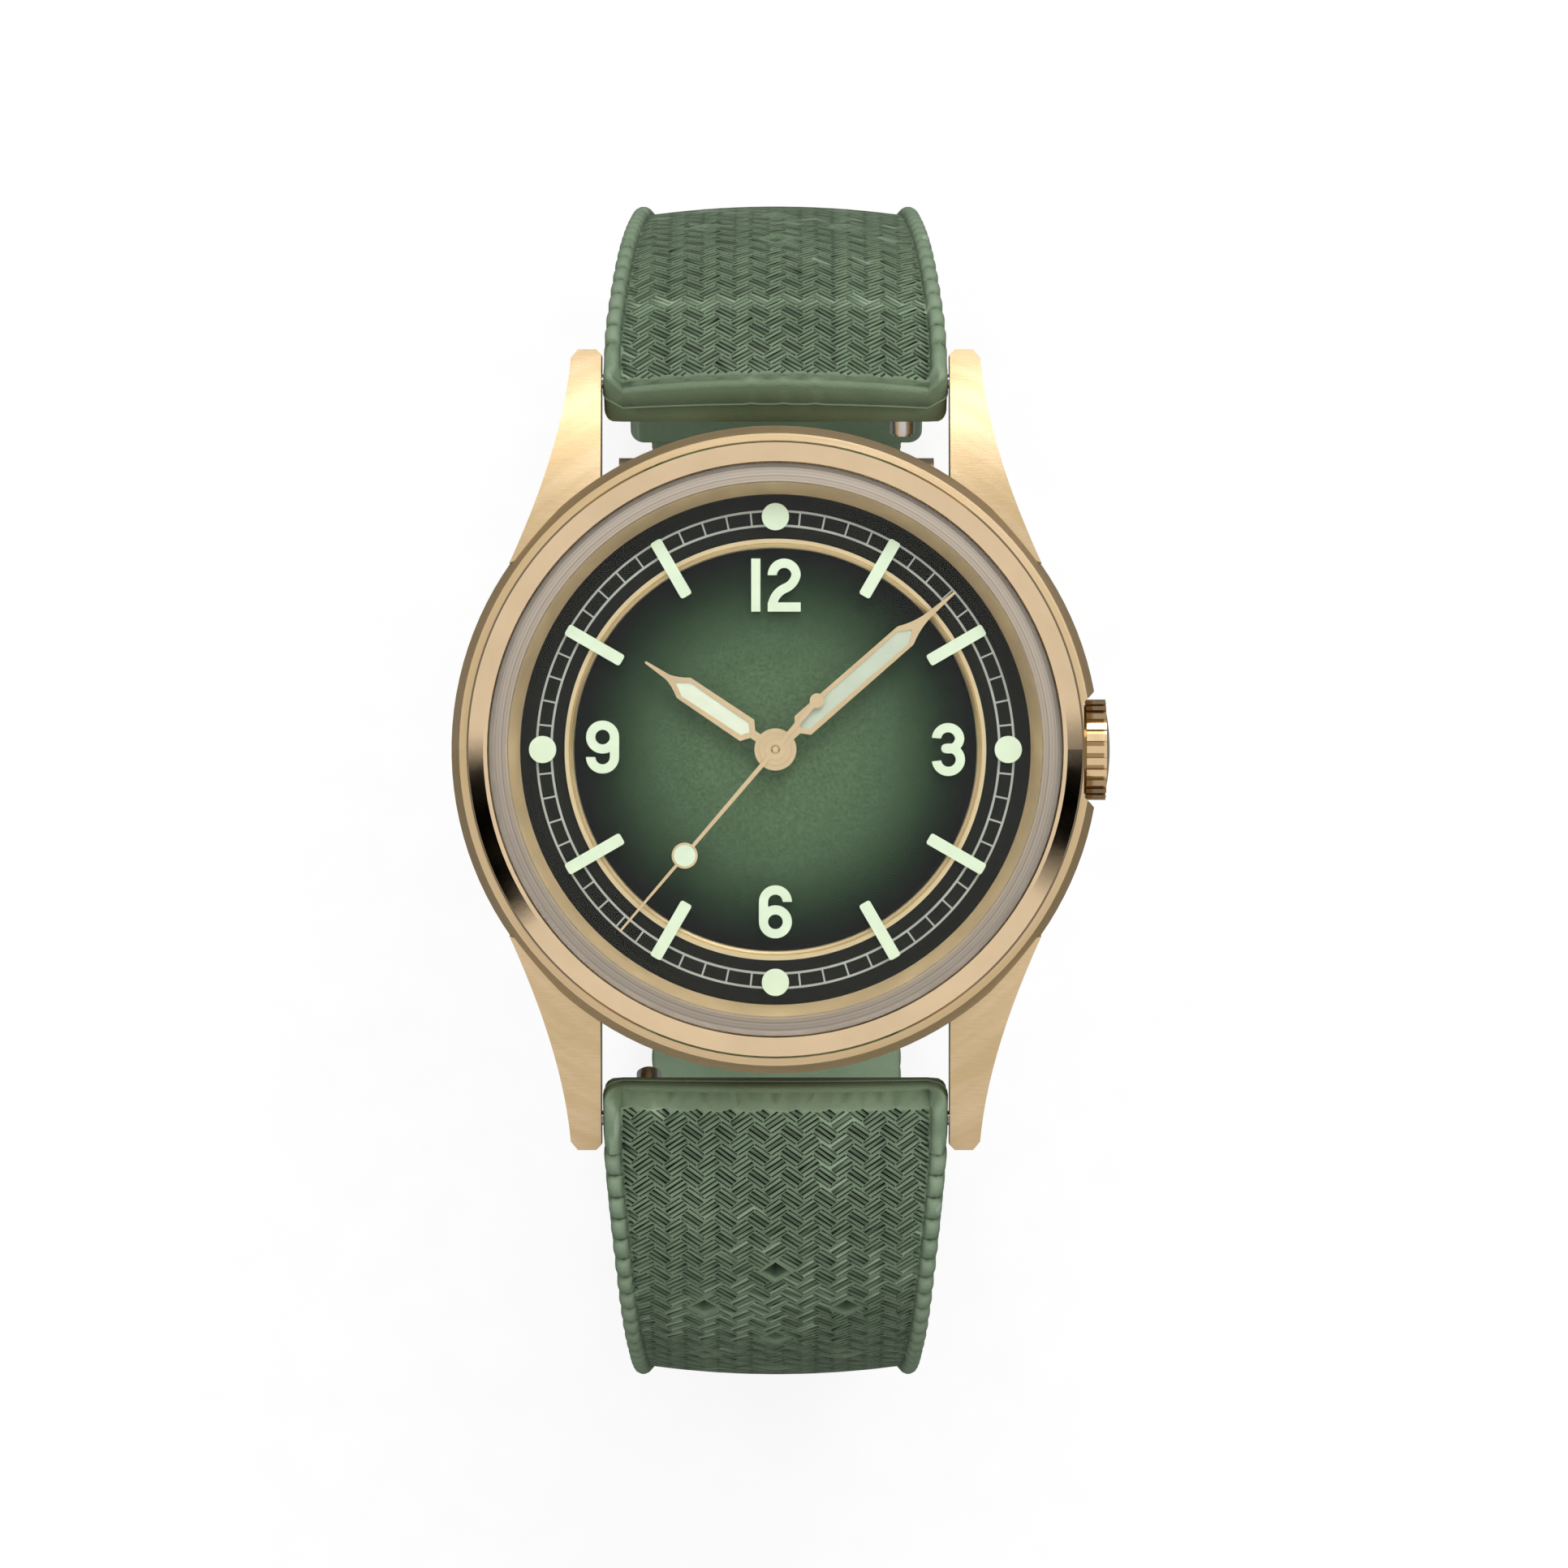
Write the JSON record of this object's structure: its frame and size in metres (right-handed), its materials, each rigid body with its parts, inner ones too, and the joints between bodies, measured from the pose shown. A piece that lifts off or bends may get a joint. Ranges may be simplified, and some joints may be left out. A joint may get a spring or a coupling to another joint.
{
  "type": "dive watch",
  "caption": "Round three-hand automatic dive watch with a green dial, raised lume markers, fluted crown and a woven-texture rubber strap, unbuckled and standing on its strap.",
  "frame": {"origin": "centre of the case back's flat outer face", "axes": "+Z along the hands' axis towards the dial, +Y to 12 o'clock, +X to 3 o'clock and the crown"},
  "size_m": [0.0377, 0.0705, 0.0733],
  "materials": {
    "brushed_bronze": "brushed",
    "polished_bronze": "polished",
    "crystal": "clear",
    "black_rubber": "matte",
    "green_rubber": "matte, textured",
    "green_dial": "grained, darker towards the edge",
    "black_dial": "satin",
    "grey_print": "matt",
    "lume": "matt",
    "rose_gold_hand": "polished",
    "steel": "polished",
    "nickel_plate": "grained",
    "gilt_brass": "satin",
    "ruby": "clear",
    "blued_steel": "polished",
    "tungsten": "satin",
    "holder_plastic": "matt"
  },
  "bodies": {
    "case": {"mid_case": "brushed_bronze", "bezel": "polished_bronze", "crystal": "crystal", "crystal_gasket": "black_rubber", "rehaut_ring": "polished_bronze", "case_back": "steel", "case_back_gasket": "black_rubber", "crown_tube": "steel", "movement_holder": "holder_plastic", "dial": "green_dial", "inner_dial_ring": "polished_bronze", "chapter_ring": "black_dial", "minute_track": "grey_print", "hour_markers": "lume", "hour_numerals": "lume", "main_plate": "nickel_plate", "barrel_bridge": "nickel_plate", "train_bridge": "nickel_plate", "balance_cock": "nickel_plate", "bridge_screws": "blued_steel", "bearing_jewels": "ruby", "hairspring": "blued_steel", "rotor_bearing": "steel"},
    "rotor_body": {"rotor": "nickel_plate", "rotor_weight": "tungsten"},
    "barrel_body": {"mainspring_barrel": "gilt_brass", "mainspring": "steel"},
    "winding_arbor": {"barrel_arbor": "steel", "ratchet_wheel": "steel"},
    "crown_wheel_body": {"crown_wheel": "steel"},
    "winding_pinion_body": {"winding_pinion": "steel"},
    "setting_lever_body": {"setting_lever": "steel"},
    "crown_body": {"crown": "polished_bronze", "crown_stem": "steel"},
    "minute_body": {"centre_wheel": "gilt_brass", "cannon_pinion": "steel", "minute_hand": "rose_gold_hand", "minute_hand_lume": "lume"},
    "third_body": {"third_wheel": "gilt_brass"},
    "seconds_body": {"fourth_wheel": "gilt_brass", "seconds_hand": "rose_gold_hand", "seconds_hand_lume": "lume"},
    "escape_body": {"escape_wheel": "steel"},
    "pallet_body": {"pallet_fork": "steel"},
    "balance_body": {"balance_wheel": "gilt_brass"},
    "motion_body": {"minute_wheel": "gilt_brass"},
    "hour_body": {"hour_wheel": "gilt_brass", "hour_hand": "rose_gold_hand", "hour_hand_lume": "lume"},
    "short_arm": {"strap_short": "green_rubber", "spring_bar_12": "steel", "buckle_bar": "steel", "keeper_fixed": "green_rubber"},
    "long_arm": {"strap_long": "green_rubber", "spring_bar_6": "steel"},
    "quick_release_12_body": {"quick_release_12": "steel"},
    "quick_release_6_body": {"quick_release_6": "steel"},
    "buckle_body": {"buckle_frame": "polished_bronze"},
    "tongue_body": {"buckle_tongue": "polished_bronze"},
    "free_keeper_body": {"keeper_free": "green_rubber"}
  },
  "joints": [
    {"name": "seconds_hand_turn", "type": "hinge", "parent": "case", "child": "seconds_body", "pos_m": [0, 0, 0], "axis": [0, 0, -1], "continuous": true},
    {"name": "minute_hand_turn", "type": "hinge", "parent": "case", "child": "minute_body", "pos_m": [0, 0, 0], "axis": [0, 0, -1], "continuous": true},
    {"name": "hour_hand_turn", "type": "hinge", "parent": "case", "child": "hour_body", "pos_m": [0, 0, 0], "axis": [0, 0, -1], "continuous": true},
    {"name": "minute_wheel_turn", "type": "hinge", "parent": "case", "child": "motion_body", "pos_m": [0.0012, -0.00208, 0.0051], "axis": [0, 0, -1], "continuous": true},
    {"name": "third_wheel_turn", "type": "hinge", "parent": "case", "child": "third_body", "pos_m": [-0.0045, 0, 0.003], "axis": [0, 0, -1], "continuous": true},
    {"name": "escape_wheel_turn", "type": "hinge", "parent": "case", "child": "escape_body", "pos_m": [-0.00205, -0.00355, 0.003], "axis": [0, 0, -1], "continuous": true},
    {"name": "barrel_turn", "type": "hinge", "parent": "case", "child": "barrel_body", "pos_m": [0.00293, 0.00507, 0.003], "axis": [0, 0, -1], "continuous": true},
    {"name": "pallet_fork_swing", "type": "hinge", "parent": "case", "child": "pallet_body", "pos_m": [-0.00421, -0.00488, 0.0035], "axis": [0, 0, -1], "range_deg": [-5, 5]},
    {"name": "balance_swing", "type": "hinge", "parent": "case", "child": "balance_body", "pos_m": [-0.00594, -0.00594, 0.003], "axis": [0, 0, -1], "range_deg": [-270, 270], "stiffness_Nm_per_rad": 0.00000023},
    {"name": "rotor_turn", "type": "hinge", "parent": "case", "child": "rotor_body", "pos_m": [0, 0, 0.001], "axis": [0, 0, -1], "continuous": true},
    {"name": "crown_pull", "type": "slide", "parent": "case", "child": "setting_lever_body", "axis": [1, 0, 0], "range_m": [0, 0.001]},
    {"name": "crown_turn", "type": "hinge", "parent": "setting_lever_body", "child": "crown_body", "pos_m": [0.018, 0, 0.0036], "axis": [1, 0, 0], "continuous": true},
    {"name": "winding_pinion_turn", "type": "hinge", "parent": "case", "child": "winding_pinion_body", "pos_m": [0.0084, 0, 0.0036], "axis": [1, 0, 0], "continuous": true},
    {"name": "crown_wheel_turn", "type": "hinge", "parent": "case", "child": "crown_wheel_body", "pos_m": [0.0062, 0, 0.0021], "axis": [0, 0, 1], "continuous": true},
    {"name": "ratchet_wheel_turn", "type": "hinge", "parent": "case", "child": "winding_arbor", "pos_m": [0.00293, 0.00507, 0.0021], "axis": [0, 0, 1], "continuous": true},
    {"name": "strap_short_swing", "type": "hinge", "parent": "case", "child": "short_arm", "pos_m": [0, 0.0212, 0.0026], "axis": [1, 0, 0], "range_deg": [0, 45]},
    {"name": "strap_long_swing", "type": "hinge", "parent": "case", "child": "long_arm", "pos_m": [0, -0.0212, 0.0026], "axis": [-1, 0, 0], "range_deg": [0, 24]},
    {"name": "quick_release_12_slide", "type": "slide", "parent": "short_arm", "child": "quick_release_12_body", "axis": [-1, 0, 0], "range_m": [0, 0.0012], "stiffness_N_per_m": 200},
    {"name": "quick_release_6_slide", "type": "slide", "parent": "long_arm", "child": "quick_release_6_body", "axis": [1, 0, 0], "range_m": [0, 0.0012], "stiffness_N_per_m": 200},
    {"name": "buckle_swing", "type": "hinge", "parent": "short_arm", "child": "buckle_body", "pos_m": [0, 0.01777, -0.06114], "axis": [1, 0, 0], "range_deg": [-45, 80]},
    {"name": "buckle_tongue_swing", "type": "hinge", "parent": "buckle_body", "child": "tongue_body", "pos_m": [0, 0.01777, -0.06114], "axis": [1, 0, 0], "range_deg": [0, 60]},
    {"name": "keeper_slide", "type": "hinge", "parent": "short_arm", "child": "free_keeper_body", "pos_m": [0, -0.01518, -0.02819], "axis": [1, 0, 0], "range_deg": [-5, 15]}
  ],
  "couplings": [
    {"joint": "minute_hand_turn", "follows": "seconds_hand_turn", "ratio": 0.016667},
    {"joint": "hour_hand_turn", "follows": "seconds_hand_turn", "ratio": 0.0013889},
    {"joint": "minute_wheel_turn", "follows": "seconds_hand_turn", "ratio": -0.0055556},
    {"joint": "third_wheel_turn", "follows": "seconds_hand_turn", "ratio": -0.13333},
    {"joint": "escape_wheel_turn", "follows": "seconds_hand_turn", "ratio": -12},
    {"joint": "barrel_turn", "follows": "seconds_hand_turn", "ratio": -0.0025641},
    {"joint": "winding_pinion_turn", "follows": "crown_turn", "ratio": 1},
    {"joint": "crown_wheel_turn", "follows": "crown_turn", "ratio": 0.53571},
    {"joint": "ratchet_wheel_turn", "follows": "crown_turn", "ratio": -0.36585}
  ]
}
